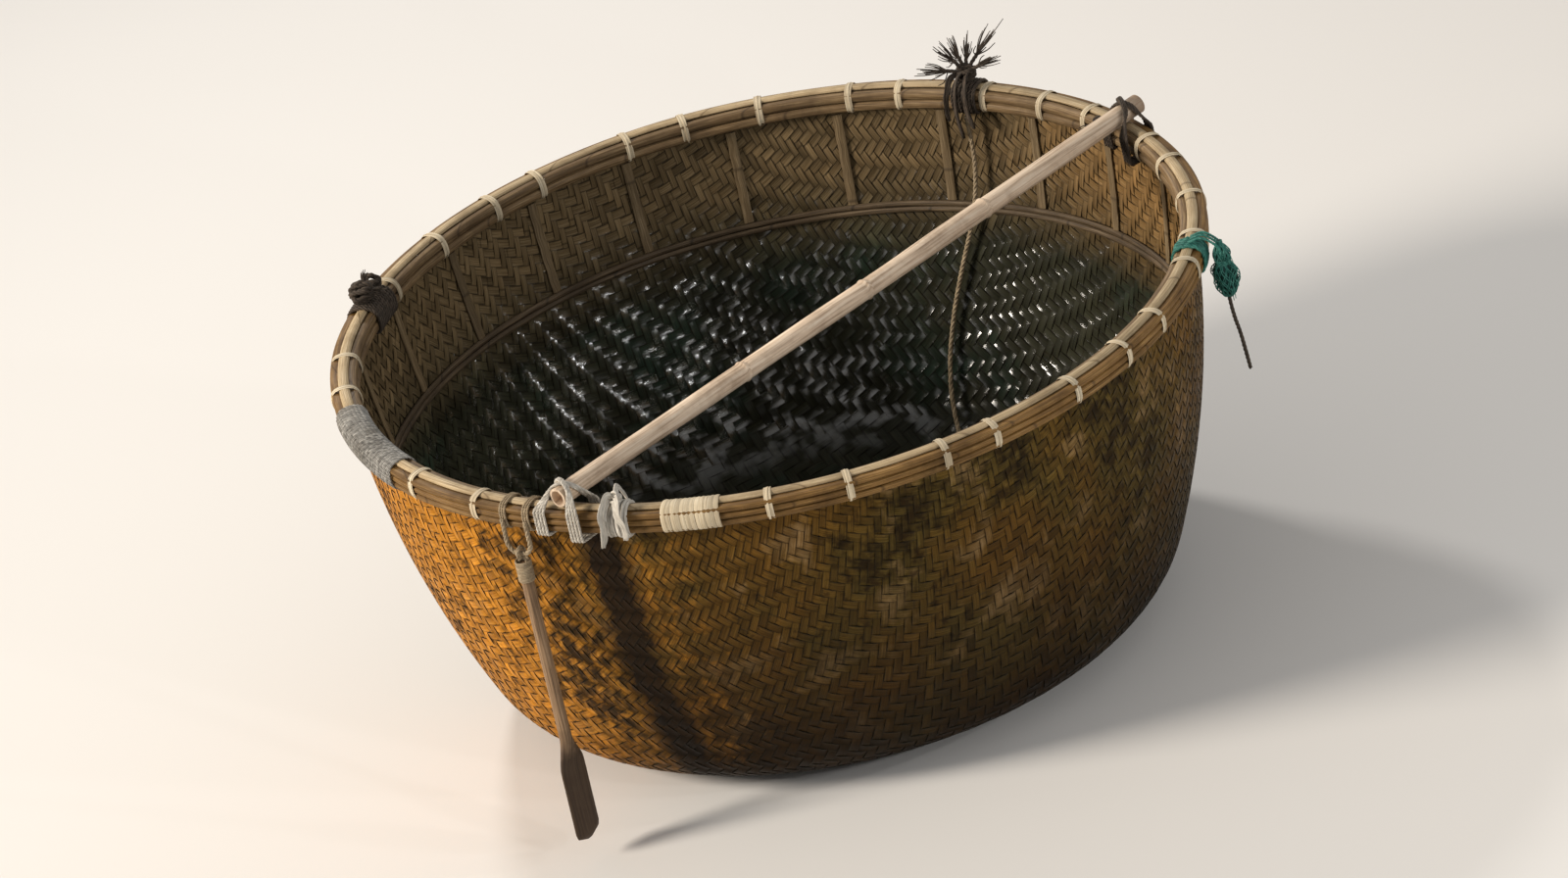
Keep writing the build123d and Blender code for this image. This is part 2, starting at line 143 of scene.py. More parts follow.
# Lines
def tangents(points):
    """Each point of a line with the line's direction there."""
    for i, point in enumerate(points):
        yield point, (points[min(i + 1, len(points) - 1)] - points[max(i - 1, 0)]).normalized()


def frames(path):
    """Each point of a line with a side and an up that don't twist, and its distance along the line."""
    side, run = None, 0.0
    for point, tangent in tangents(path):
        if side is None:
            side, last = tangent.orthogonal().normalized(), point
        side = (side - side.dot(tangent) * tangent).normalized()
        run += (point - last).length
        last = point
        yield point, side, tangent.cross(side), run


def smooth_line(points, steps=6):
    """Curve through a row of points."""
    p = [2 * points[0] - points[1]] + points + [2 * points[-1] - points[-2]]
    line = []
    for a, b, c, d in zip(p, p[1:], p[2:], p[3:]):
        for k in range(steps):
            t = k / steps
            bend = (2 * a - 5 * b + 4 * c - d) * t**2
            line.append(0.5 * (2 * b + (c - a) * t + bend + (3 * b - a - 3 * c + d) * t**3))
    line.append(points[-1])
    return line


def rounded(points, rounds):
    """Open line with its corners cut."""
    for _ in range(rounds):
        cut = [points[0]]
        for a, b in zip(points, points[1:]):
            cut += [a.lerp(b, 0.25), a.lerp(b, 0.75)]
        points = cut + [points[-1]]
    return points


def tight(points):
    """Line with straight runs and small round corners."""
    line = [points[0]]
    for before, corner, after in zip(points, points[1:], points[2:]):
        start, end = (
            corner + (other - corner).normalized() * min(CORNER_CUT, 0.45 * (other - corner).length)
            for other in (before, after)
        )
        for t in (0.0, 0.25, 0.5, 0.75, 1.0):
            line.append(start.lerp(corner, t).lerp(corner.lerp(end, t), t))
    line.append(points[-1])
    even = [line[0]]
    for a, b in zip(line, line[1:]):
        pieces = max(1, int((b - a).length / RUN_STEP))
        even += [a.lerp(b, k / pieces) for k in range(1, pieces + 1)]
    return even


# Mesh building
def ring_faces(rows, sides, ends=True):
    """Faces between closed sections, and over the first and last of them."""
    faces = []
    for i in range(rows - 1):
        for k in range(sides):
            n = (k + 1) % sides
            faces.append((i * sides + k, i * sides + n, (i + 1) * sides + n, (i + 1) * sides + k))
    if ends:
        faces.append(tuple(reversed(range(sides))))
        faces.append(tuple((rows - 1) * sides + k for k in range(sides)))
    return faces


def turned_faces(turns, sides, closed=True):
    """Faces of a section that goes round the boat, between its points in order."""
    faces = []
    for t in range(turns):
        n = (t + 1) % turns
        for k in range(sides if closed else sides - 1):
            m = (k + 1) % sides
            faces.append((t * sides + k, n * sides + k, n * sides + m, t * sides + m))
    return faces


def placed(name, data):
    """New object in the scene."""
    thing = bpy.data.objects.new(name, data)
    bpy.context.scene.collection.objects.link(thing)
    return thing


class Piece:
    """Gathers the faces of one piece, with the grain's run, breadth and strand number at each vertex."""

    def __init__(self):
        self.verts, self.faces, self.grain = [], [], []

    def add(self, verts, faces, grain):
        base = len(self.verts)
        self.verts.extend(verts)
        self.faces.extend(tuple(base + i for i in face) for face in faces)
        self.grain.extend(grain)

    def tube(self, path, radius, sides, strand=None, ends=True):
        """Round rod along a line. radius is one number, or one for each point."""
        strand = draw.random() if strand is None else strand
        radii = radius if hasattr(radius, "__len__") else [radius] * len(path)
        verts, grain = [], []
        for size, (point, side, up, run) in zip(radii, frames(path)):
            for k in range(sides):
                a = 2 * pi * k / sides
                verts.append(point + size * (cos(a) * side + sin(a) * up))
                grain.append((run, size * a, strand))
        self.add(verts, ring_faces(len(path), sides, ends), grain)

    def rope(self, path, radius, strands=3, lay=6.0):
        """Laid rope: strands that wind round a line, `lay` radii to the turn."""
        own = draw.random()
        winding = [[] for _ in range(strands)]
        for point, side, up, run in frames(path):
            for k, line in enumerate(winding):
                a = 2 * pi * (run / (lay * radius) + k / strands)
                line.append(point + 0.48 * radius * (cos(a) * side + sin(a) * up))
        for k, line in enumerate(winding):
            self.tube(line, 0.54 * radius, 6, own + 0.13 * k)

    def sweep(self, sections, strand):
        """Skin over a row of closed sections with the same number of points."""
        verts, grain, run = [], [], 0.0
        for i, section in enumerate(sections):
            if i:
                run += (section[0] - sections[i - 1][0]).length
            across = 0.0
            for k, point in enumerate(section):
                if k:
                    across += (point - section[k - 1]).length
                verts.append(point)
                grain.append((run, across, strand))
        self.add(verts, ring_faces(len(sections), len(sections[0])), grain)

    def make(self, name, look, slot, node, body="boat", sharp=None):
        """Object that stands for a node of the frame. Edges turn sharp over an angle in degrees."""
        mesh = bpy.data.meshes.new(name)
        mesh.from_pydata(self.verts, [], self.faces)
        mesh.validate()
        layer = mesh.attributes.new("grain", "FLOAT_VECTOR", "POINT")
        layer.data.foreach_set("vector", np.array(self.grain, "f").ravel())
        mesh.polygons.foreach_set("use_smooth", [True] * len(mesh.polygons))
        mesh.materials.append(look)
        mesh.update()
        if sharp is not None:
            mesh.set_sharp_from_angle(angle=radians(sharp))
        piece = placed(name, mesh)
        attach(piece, body)
        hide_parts(node)
        return piece


# Materials
class Look:
    """Nodes of a material or the world. A value is a number, a colour or another node's output."""

    def __init__(self, owner, shader="Principled BSDF"):
        owner.use_nodes = True
        self.owner = owner
        self.nodes = owner.node_tree.nodes
        self.links = owner.node_tree.links
        self.shader = self.nodes[shader]

    def put(self, socket, value):
        if isinstance(value, bpy.types.NodeSocket):
            self.links.new(value, socket)
        else:
            socket.default_value = value

    def set(self, name, value):
        """Value of one of the shader's inputs."""
        self.put(self.shader.inputs[name], value)

    def node(self, kind, *values, **settings):
        """New node with its settings, and with values in its first inputs."""
        made = self.nodes.new("ShaderNode" + kind)
        for key, value in settings.items():
            setattr(made, key, value)
        for socket, value in zip(made.inputs, values):
            self.put(socket, value)
        return made

    def math(self, operation, a, b=0.0):
        return self.node("Math", a, b, operation=operation).outputs[0]

    def times(self, a, b):
        return self.math("MULTIPLY", a, b)

    def add(self, total, *others):
        for other in others:
            total = self.math("ADD", total, other)
        return total

    def swing(self, noise, size):
        """Noise as a swing to both sides of zero."""
        return self.times(self.math("SUBTRACT", noise, 0.5), size)

    def grade(self, value, low, high, to_low=0.0, to_high=1.0):
        return self.node("MapRange", value, low, high, to_low, to_high).outputs[0]

    def stretch(self, vector, scale):
        return self.node("VectorMath", vector, scale, operation="MULTIPLY").outputs[0]

    def noise(self, vector, scale, detail, rough=0.55):
        made = self.node("TexNoise", vector)
        for key, number in (("Scale", scale), ("Detail", detail), ("Roughness", rough)):
            made.inputs[key].default_value = number
        return made.outputs["Fac"]

    def ramp(self, value, places, *colours):
        made = self.node("ValToRGB", value)
        elements = made.color_ramp.elements
        while len(elements) < len(places):
            elements.new(0.5)
        for element, place, colour in zip(elements, places, colours):
            element.position = place
            element.color = (*colour, 1.0)
        return made.outputs["Color"]

    def mix(self, factor, a, b):
        made = self.node("Mix", factor, data_type="RGBA")
        for socket, value in zip([s for s in made.inputs if s.type == "RGBA"], (a, b)):
            self.put(socket, value if isinstance(value, bpy.types.NodeSocket) else (*value, 1.0))
        return [s for s in made.outputs if s.type == "RGBA"][0]

    def bump(self, height, distance):
        made = self.nodes.new("ShaderNodeBump")
        self.put(made.inputs["Height"], height)
        made.inputs["Distance"].default_value = distance
        made.inputs["Strength"].default_value = 1.0
        self.set("Normal", made.outputs[0])

    def colour(self, colour, grain, scale, detail, low, high):
        """Base colour, which is darker on some strands and lighter on others."""
        own = self.noise(self.stretch(grain, scale), 1.0, detail)
        made = self.nodes.new("ShaderNodeHueSaturation")
        self.put(made.inputs["Value"], self.grade(own, 0.3, 0.7, low, high))
        self.put(made.inputs["Color"], colour)
        self.set("Base Color", made.outputs[0])

    def grain(self):
        return self.node("Attribute", attribute_name="grain").outputs["Vector"]

    def place(self, output="Object"):
        return self.nodes.new("ShaderNodeTexCoord").outputs[output]

    def parts(self, vector):
        return self.node("SeparateXYZ", vector).outputs

    def joint_marks(self, grain, spacing, width):
        """Thin bands across a bamboo strip where its joints were, at another place on each strip."""
        run, _, strand = self.parts(grain)
        place = self.add(self.math("DIVIDE", run, spacing), self.times(strand, 37.0))
        return self.grade(self.math("PINGPONG", place, 0.5), 0.0, width / spacing, 1.0, 0.0)


def fibre_look(name, dark, mid, light, along=12.0, across=420.0, rough=(0.5, 0.75), wear=0.45, joints=0.0,
               tint=(0.72, 1.25), darker_from=None):
    """Wood, cane or rope: grain along the piece, stains, a tint for each strand and joint marks."""
    look = Look(bpy.data.materials.new(name))
    grain = look.grain()
    fine = look.noise(look.stretch(grain, (along, across, 31.0)), 1.0, 6.0, 0.6)
    colour = look.ramp(fine, (0.25, 0.5, 0.75), dark, mid, light)
    stain = look.noise(look.place(), 7.0, 6.0, 0.65)
    colour = look.mix(look.grade(stain, 0.48, 0.72, 0.0, wear), colour, dark)
    height = fine
    if joints:
        marks = look.joint_marks(grain, joints, 0.006)
        colour = look.mix(look.times(marks, 0.75), colour, dark)
        height = look.add(fine, marks)
    # darker past this run along the grain, towards the piece's far end
    if darker_from:
        reach = look.add(look.parts(grain)["X"], look.times(stain, 0.25))
        colour = look.mix(look.grade(reach, darker_from, darker_from + 0.09, 0.0, 0.9), colour, dark)
    look.colour(colour, grain, (0.6, 0.0, 57.0), 1.0, *tint)
    look.set("Roughness", look.grade(stain, 0.3, 0.7, *rough))
    look.set("Specular IOR Level", 0.25)
    look.bump(height, 0.0004)
    return look.owner


def weave_look(name):
    """Split bamboo under resin: orange brown outside, nearly black and glossy inside."""
    look = Look(bpy.data.materials.new(name))
    grade, ramp, mix, noise = look.grade, look.ramp, look.mix, look.noise
    times, add, math = look.times, look.add, look.math
    place = look.place()
    east, north, height = look.parts(place)
    grain = look.grain()
    across = look.parts(grain)["Y"]
    fine = noise(look.stretch(grain, (9.0, 13.0, 41.0)), 1.0, 6.0, 0.6)
    patch = noise(place, 2.6, 6.0, 0.62)
    spots = noise(place, 30.0, 3.0, 0.6)
    drops = noise(look.stretch(place, (1.0, 1.0, 1.6)), 17.0, 2.0, 0.5)
    weather = noise(place, 8.5, 5.0, 0.62)
    crown = times(across, across)
    marks = look.joint_marks(grain, 0.31, 0.004)
    turn = math("ARCTAN2", north, east)
    sway = look.swing(patch, 0.5)
    mottle = look.swing(spots, 0.9)

    # outside: orange to the left as painted sunlight, brown and olive elsewhere, bleached and tarred
    # patches, darker towards the bottom partly as painted shade, a dark streak of painted shade
    wide = (0.22, 0.5, 0.78)
    # painted sunlight: the wall is orange where it faces azimuth about 202 degrees, with ragged edges
    from_sun = math("ARCCOSINE", math("COSINE", add(turn, 2.75)))
    painted_sun = grade(add(from_sun, sway, mottle), 0.80, 0.30, 0.0, 1.0)
    orange = ramp(fine, wide, (0.19, 0.060, 0.003), (0.43, 0.168, 0.012), (0.72, 0.345, 0.045))
    brown = ramp(fine, wide, (0.037, 0.016, 0.002), (0.118, 0.056, 0.008), (0.255, 0.138, 0.027))
    olive = ramp(fine, wide, (0.024, 0.014, 0.002), (0.073, 0.046, 0.008), (0.150, 0.100, 0.025))
    outside = mix(grade(patch, 0.42, 0.60), brown, olive)
    outside = mix(painted_sun, outside, orange)
    bleached = ramp(fine, wide, (0.115, 0.062, 0.022), (0.270, 0.165, 0.070), (0.470, 0.320, 0.165))
    faded = times(grade(weather, 0.54, 0.70, 0.0, 0.68), grade(painted_sun, 0.0, 1.0, 1.0, 0.35))
    outside = mix(faded, outside, bleached)
    # near-black tar colour, used for the tar blotches and also as painted shade low on the wall and in the
    # streak
    tar_and_shade = ramp(spots, (0.3, 0.7), (0.004, 0.002, 0.0005), (0.017, 0.008, 0.002))
    # darker towards the bottom and less so where the painted sunlight is, so partly painted shade
    low = grade(add(height, sway, times(painted_sun, 0.42)), 0.12, 0.72, 0.95, 0.0)
    blotch = math("SUBTRACT", add(spots, patch), times(weather, 0.6))
    low_shade_and_tar = math("MAXIMUM", low, grade(blotch, 0.74, 0.96, 0.0, 0.85))
    outside = mix(low_shade_and_tar, outside, tar_and_shade)
    # painted shade: a dark vertical streak at azimuth about 240 degrees, below the near pole lashing
    from_shade_streak = math("ABSOLUTE", add(turn, add(2.086, times(sway, 0.22))))
    from_shade_streak = add(from_shade_streak, times(mottle, 0.11))
    outside = mix(grade(from_shade_streak, 0.030, 0.072, 0.98, 0.0), outside, tar_and_shade)

    # inside: nearly black below, brown in the upper band, tan on its east side as painted sunlight
    deep, mild = (0.25, 0.55, 0.8), (0.25, 0.5, 0.8)
    inside = ramp(fine, deep, (0.010, 0.011, 0.007), (0.026, 0.026, 0.015), (0.060, 0.054, 0.030))
    moss = ramp(fine, deep, (0.007, 0.013, 0.009), (0.018, 0.034, 0.022), (0.040, 0.065, 0.042))
    inside = mix(grade(patch, 0.50, 0.62), inside, moss)
    upper = ramp(fine, mild, (0.055, 0.036, 0.016), (0.15, 0.102, 0.050), (0.30, 0.225, 0.125))
    tan = ramp(fine, mild, (0.085, 0.045, 0.013), (0.27, 0.150, 0.052), (0.48, 0.315, 0.145))
    # painted sunlight: the upper band turns tan near azimuth 6 degrees
    from_east = math("ABSOLUTE", math("SUBTRACT", add(turn, sway), 0.10))
    painted_sun_inside = grade(add(from_east, times(mottle, 0.5)), 0.75, 0.30)
    upper = mix(times(painted_sun_inside, 0.85), upper, tan)
    edge = add(height, add(times(sway, 0.25), look.swing(spots, 0.06)))
    band = grade(edge, 0.46, 0.66)
    inside = mix(band, inside, upper)

    # a face is outside where it looks away from the middle of the boat's opening
    away = look.node("VectorMath", place, (0.0, 0.0, H), operation="SUBTRACT").outputs[0]
    facing = look.node("VectorMath", away, look.place("Normal"), operation="DOT_PRODUCT").outputs["Value"]
    out = grade(facing, -0.06, 0.06)
    colour = mix(out, inside, outside)
    colour = mix(times(marks, 0.6), colour, (0.02, 0.014, 0.006))
    colour = mix(grade(crown, 0.14, 0.25, 0.0, 0.8), colour, (0.012, 0.009, 0.005))
    look.colour(colour, grain, (1.6, 0.0, 83.0), 2.0, 0.55, 1.40)
    look.set("Roughness", grade(spots, 0.3, 0.7, 0.42, 0.66))
    look.set("Specular IOR Level", 0.08)
    wet = math("SUBTRACT", 1.0, math("MAXIMUM", out, band))
    wet = times(wet, grade(height, 0.06, 0.17))
    look.set("Coat Weight", times(wet, grade(drops, 0.46, 0.60, 0.04, 1.0)))
    look.set("Coat Roughness", 0.11)
    look.set("Coat IOR", 1.9)
    relief = math("SUBTRACT", times(fine, 0.35), times(crown, 5.0))
    look.bump(add(relief, times(marks, 0.5)), 0.0009)
    look.links.new(look.shader.inputs["Normal"].links[0].from_socket, look.shader.inputs["Coat Normal"])
    return look.owner


# Metres between the joints of a bamboo
JOINTS = 0.36

WEAVE = weave_look("weave")
HOOP = fibre_look(
    "hoop", (0.045, 0.027, 0.013), (0.165, 0.103, 0.048), (0.34, 0.24, 0.125), joints=JOINTS, wear=0.6
)
OUTER = fibre_look(
    "outer_hoop", (0.042, 0.020, 0.005), (0.180, 0.094, 0.025), (0.39, 0.24, 0.085), joints=JOINTS, wear=0.8
)
# the cap's cane is paler than the hoops, and lighter still as painted sunlight on the rim's top
CAP = fibre_look(
    "cap", (0.13, 0.085, 0.042), (0.45, 0.335, 0.19), (0.72, 0.60, 0.40), joints=JOINTS, wear=0.7
)
CANE = fibre_look("cane", (0.30, 0.22, 0.13), (0.62, 0.52, 0.36), (0.84, 0.76, 0.59))
POLE = fibre_look(
    "pole", (0.25, 0.165, 0.105), (0.66, 0.51, 0.37), (0.86, 0.74, 0.59),
    along=6.0, across=160.0, wear=0.75, darker_from=1.86,
)
STRINGER = fibre_look(
    "stringer", (0.018, 0.013, 0.008), (0.075, 0.050, 0.027), (0.20, 0.145, 0.085), joints=JOINTS
)
BATTEN = fibre_look(
    "batten", (0.055, 0.036, 0.018), (0.16, 0.11, 0.055), (0.32, 0.24, 0.14), joints=JOINTS
)
PADDLE = fibre_look(
    "paddle", (0.028, 0.016, 0.009), (0.25, 0.155, 0.085), (0.44, 0.30, 0.18),
    along=8.0, across=260.0, darker_from=0.50,
)
ROPE = fibre_look(
    "rope", (0.16, 0.11, 0.065), (0.36, 0.28, 0.18), (0.56, 0.46, 0.32), 60.0, rough=(0.8, 0.95)
)
DARK = fibre_look(
    "dark_rope", (0.012, 0.010, 0.008), (0.050, 0.038, 0.028), (0.15, 0.11, 0.08), 60.0, rough=(0.7, 0.9)
)
PALE = fibre_look(
    "pale_rope", (0.28, 0.25, 0.21), (0.58, 0.54, 0.47), (0.80, 0.77, 0.70), 60.0, rough=(0.8, 0.95)
)
GREY = fibre_look(
    "grey_rope", (0.085, 0.072, 0.055), (0.285, 0.275, 0.255), (0.60, 0.58, 0.53), 60.0,
    rough=(0.7, 0.9), wear=0.95, tint=(0.45, 1.6),
)
NET = fibre_look(
    "net", (0.005, 0.040, 0.033), (0.022, 0.145, 0.115), (0.17, 0.43, 0.35), 80.0, rough=(0.45, 0.7)
)
# the netting inside the bunch, a darker copy of the net's green as painted shade
NET_CORE_SHADE = fibre_look(
    "net_core_shade", (0.002, 0.010, 0.009), (0.005, 0.034, 0.029), (0.014, 0.085, 0.07), 90.0, rough=(0.6, 0.8)
)

# Woven bowl
PITCH = 0.022
MAT_TURN = radians(20.0)
STRIP_THICK = 0.0034
STRIP_SHARE = 0.985
WAVE = 0.0019
WEAVE_MID = 0.0048
RESIN_HALF = 0.0012
MID = section_line(WEAVE_MID)
MAT_R = MID[-1, 0]


def mat_to_space(x, y, rise):
    """Point of the bowl from a point of the flat mat and a rise over its middle surface."""
    distance = np.hypot(x, y)
    turn = np.arctan2(y, x) + MAT_TURN
    radius, level, out, up = (np.interp(distance, MID[:, 0], MID[:, k]) for k in (1, 2, 3, 4))
    radius, level = radius + rise * out, level + rise * up
    return np.stack([radius * np.cos(turn), radius * np.sin(turn), level], axis=-1)


def weave_strips(name, warp):
    """Flat strips of one direction, over two and under two of the other."""
    strips = Piece()
    side = 1.0 if warp else -1.0
    count = int(MAT_R / PITCH)
    for i in range(-count, count + 1):
        middle = i * PITCH + draw.uniform(-0.0005, 0.0005)
        if abs(middle) > MAT_R - 0.004:
            continue
        half_run = sqrt(MAT_R**2 - middle**2)
        steps = int(half_run / (PITCH / 2))
        along = [k * PITCH / 2 for k in range(-steps, steps + 1)]
        if half_run - along[-1] > 0.002:
            along = [-half_run] + along + [half_run]
        along = np.array(along)
        # over or under at each station, and halfway where the strip goes from one to the other
        cells = np.floor(along / PITCH + 0.25), np.ceil(along / PITCH - 0.25)
        lifts = [np.where((cell + i + 400) % 4 < 2, side, -side) for cell in cells]
        rise = 0.5 * (lifts[0] + lifts[1])
        # stations in the middle of a straight stretch are left out
        bends = np.ones(len(along), bool)
        bends[1:-1] = (rise[1:-1] != rise[:-2]) | (rise[1:-1] != rise[2:])
        along, rise = along[bends], rise[bends] * WAVE + draw.uniform(-0.0002, 0.0002)
        half = 0.5 * PITCH * STRIP_SHARE * draw.uniform(0.92, 1.0)
        rims = []
        for offset, thick in ((-half, 0.5), (half, 0.5), (half, -0.5), (-half, -0.5)):
            u = np.full_like(along, middle + offset)
            reach = np.sqrt(np.maximum(MAT_R**2 - u**2, 0))
            v = np.clip(along, -reach, reach)
            x, y = (u, v) if warp else (v, u)
            rims.append(mat_to_space(x, y, rise + thick * STRIP_THICK))
        strand = draw.random()
        grain = [(run, across, strand) for run in along for across in (-0.5, 0.5, 0.5, -0.5)]
        faces = ring_faces(len(along), 4)
        if not warp:
            faces = [tuple(reversed(face)) for face in faces]
        strips.add(np.stack(rims, axis=1).reshape(-1, 3), faces, grain)
    strips.make(name, WEAVE, "weave", "woven_bowl", sharp=40)


weave_strips("weave_warp", True)
weave_strips("weave_weft", False)

# Resin between the strips: one skin that goes up the wall outside and down inside
RESIN_TURNS = 96
low_skin, high_skin = section_line(WEAVE_MID - RESIN_HALF), section_line(WEAVE_MID + RESIN_HALF)
keep = [0] + list(range(1, len(MID) - 1, 3)) + [len(MID) - 1]
ring = [low_skin[i] for i in keep] + [high_skin[i] for i in reversed(keep)]
verts = []
for t in range(RESIN_TURNS):
    a = 2 * pi * t / RESIN_TURNS
    verts += [(row[1] * cos(a), row[1] * sin(a), row[2]) for row in ring]
resin = Piece()
resin.add(verts, turned_faces(RESIN_TURNS, len(ring), closed=False), [(0.0, 0.5, 0.3)] * len(verts))
resin.make("weave_resin", WEAVE, "weave", "woven_bowl")


# Hoops and cap
def hoop_piece(name, look, slot, node, laths, steps=240):
    """Round laths side by side, each a closed section in radius and height that wanders a little."""
    piece = Piece()
    for lath in laths:
        phases = [draw.uniform(0, 2 * pi) for _ in range(3)]
        strand = draw.random()
        verts, grain = [], []
        for t in range(steps):
            a = 2 * pi * t / steps
            sway = sum(sin((3 + 4 * j) * a + phases[j]) for j in range(3)) * 0.0004
            for k, (radius, level) in enumerate(lath):
                verts.append(((radius + sway) * cos(a), (radius + sway) * sin(a), level + 0.6 * sway))
                grain.append((radius * min(a, 2 * pi - a), k * 0.006, strand))
        piece.add(verts, turned_faces(steps, len(lath)), grain)
    piece.make(name, look, slot, node)


def lath_section(inset_a, inset_b, low, high, sides):
    """Section of a split lath between two insets and two heights, a square with round corners."""
    outline = []
    for k in range(sides):
        a = 2 * pi * k / sides
        across, up = signed_power(cos(a), 0.62), signed_power(sin(a), 0.62)
        level = (low + high) / 2 + up * (high - low) / 2
        inset = (inset_a + inset_b) / 2 - across * abs(inset_a - inset_b) / 2
        outline.append((wall_at(inset, level), level))
    return outline


def lath_stack(inset_a, inset_b, low, high, count, gap, sides=12):
    """Sections of laths above each other, a gap in from the edges of their shares."""
    step = (high - low) / count
    return [
        lath_section(inset_a, inset_b, low + step * k + gap, low + step * (k + 1) - gap, sides)
        for k in range(count)
    ]


outer_laths = lath_stack(-0.0006, -OUTER_W + 0.0005, OUTER_LOW, H, 3, 0.0006)
hoop_piece("outer_hoop_laths", OUTER, "hoop", "outer_hoop", outer_laths)
inner_laths = lath_stack(SKIN + 0.0006, SKIN + INNER_W - 0.0005, INNER_LOW, H, 2, 0.0006)
hoop_piece("inner_hoop_laths", HOOP, "hoop", "inner_hoop", inner_laths)
cap_arc = [pi * k / 10 for k in range(11)]
cap_outline = [(CAP_MID + 0.0118 * cos(a), H + 0.0006 + 0.0074 * sin(a) ** 0.8) for a in cap_arc]
hoop_piece("rim_cap_lath", CAP, "lath", "rim_cap", [cap_outline])


# What goes round the rim
def rim_path(clear, azimuth, lean=0.0, rounds=2):
    """Line round the rim at a clearance, from the wall outside to the wall inside.

    It leans along the rim by `lean` metres from end to end.
    """
    under_outer, under_inner = OUTER_LOW - clear, INNER_LOW - clear
    corners = [
        (wall_at(SKIN * 0.4, under_outer), under_outer),
        (wall_at(-OUTER_W, OUTER_LOW) + clear, under_outer),
        (wall_at(-OUTER_W, H) + clear, H + 0.2 * clear),
        (CAP_MID, CAP_TOP + 0.0012 + clear),
        (wall_at(SKIN + INNER_W, H) - clear, H + 0.2 * clear),
        (wall_at(SKIN + INNER_W, INNER_LOW) - clear, under_inner),
        (wall_at(SKIN * 0.6, under_inner), under_inner),
    ]
    flat = rounded([Vector((r, z, 0)) for r, z in corners], rounds)
    line = []
    for i, point in enumerate(flat):
        share = i / (len(flat) - 1) - 0.5
        line.append(polar(point.x, azimuth + degrees(lean * share / RIM_R), point.y))
    return line


def band_round_rim(piece, azimuth, width, thick, clear, lean):
    """Flat strip laid round the rim."""
    along = level_axes(radians(azimuth))[1]
    sections = []
    for point, tangent in tangents(rim_path(clear + thick / 2, azimuth, lean)):
        normal = tangent.cross(along).normalized()
        side = normal.cross(tangent).normalized()
        face = point + normal * thick / 2
        sections.append([
            point - side * width / 2,
            face - side * width * 0.32,
            face + side * width * 0.32,
            point + side * width / 2,
            point - normal * thick / 2,
        ])
    piece.sweep(sections, draw.random())


def ropes_round_rim(piece, azimuth, arc_length, radius, clear, strands=3):
    """Turns of rope side by side round the rim."""
    turns = max(1, int(arc_length / (2.05 * radius)))
    for k in range(turns):
        place = azimuth + degrees((k - (turns - 1) / 2) * 2.05 * radius / RIM_R)
        lean = draw.uniform(-0.5, 0.5) * radius
        piece.rope(smooth_line(rim_path(clear + radius, place, lean), 3), radius, strands)


pole_dir, pole_side = level_axes(POLE_TURN)
pole_mid = Vector((POLE_OFFSET * sin(POLE_TURN), -POLE_OFFSET * cos(POLE_TURN), POLE_Z))
half_chord = sqrt(RIM_R**2 - POLE_OFFSET**2)
cap_chord = sqrt(CAP_MID**2 - POLE_OFFSET**2)
far_cross = pole_mid + pole_dir * cap_chord
near_cross = pole_mid - pole_dir * cap_chord
near_pole_az = azimuth_of(near_cross)

# Azimuth of each thing on the rim, and the length that it takes up there
FAR_AZ, FAR_LEN = 55.0, 0.076
LEFT_AZ, LEFT_LEN = 155.0, 0.116
GREY_AZ, GREY_LEN = 196.0, 0.332
NET_AZ, NET_LEN = 344.5, 0.053
NEAR_AZ, NEAR_LEN = near_pole_az + arc_of(0.123), 0.060
LIGHT_AZ, LIGHT_LEN = near_pole_az + arc_of(0.289), 0.133
PADDLE_AZ, PADDLE_LEN = near_pole_az + arc_of(-0.118), 0.084
END_ROOM = 0.004
TIE_ROPE_R = 0.0045
taken = [(FAR_AZ, FAR_LEN), (LEFT_AZ, LEFT_LEN), (NEAR_AZ, NEAR_LEN), (GREY_AZ, GREY_LEN)]
taken += [(LIGHT_AZ, LIGHT_LEN), (NET_AZ, NET_LEN), (PADDLE_AZ, PADDLE_LEN)]
taken += [(azimuth_of(far_cross), 6 * POLE_R), (near_pole_az, 6 * POLE_R)]
LASHINGS = 34
lashings = Piece()
for i in range(LASHINGS):
    place = 360 / LASHINGS * i + 1.8 * sin(2.4 * i)
    if all(abs((place - a + 180) % 360 - 180) >= arc_of((n + LASH_W) / 2 + 0.003) for a, n in taken):
        for turn in side_by_side(place, 4, LASH_W / 4):
            clear = 0.0004 + draw.uniform(0, 0.0006)
            band_round_rim(lashings, turn, 0.0042, 0.0014, clear, draw.uniform(-0.002, 0.002))
        # a turn that crosses over the others
        band_round_rim(lashings, place, 0.0044, 0.0013, 0.0020, 0.011 * draw.choice((-1, 1)))
lashings.make("rim_lashing_strips", CANE, "cane", "rim_lashings", sharp=50)

grey = Piece()
ropes_round_rim(grey, GREY_AZ, GREY_LEN - END_ROOM, 0.0027, 0.0005, strands=2)
grey.make("grey_wrap_turns", GREY, "grey_rope", "grey_wrap")

light = Piece()
BAND_W = 0.0105
for place in side_by_side(LIGHT_AZ, int(LIGHT_LEN / BAND_W), BAND_W):
    clear = 0.0006 + draw.uniform(0, 0.0008)
    band_round_rim(light, place, BAND_W * 0.98, 0.0022, clear, draw.uniform(-0.003, 0.003))
light.make("light_wrap_turns", CANE, "cane", "light_wrap", sharp=50)

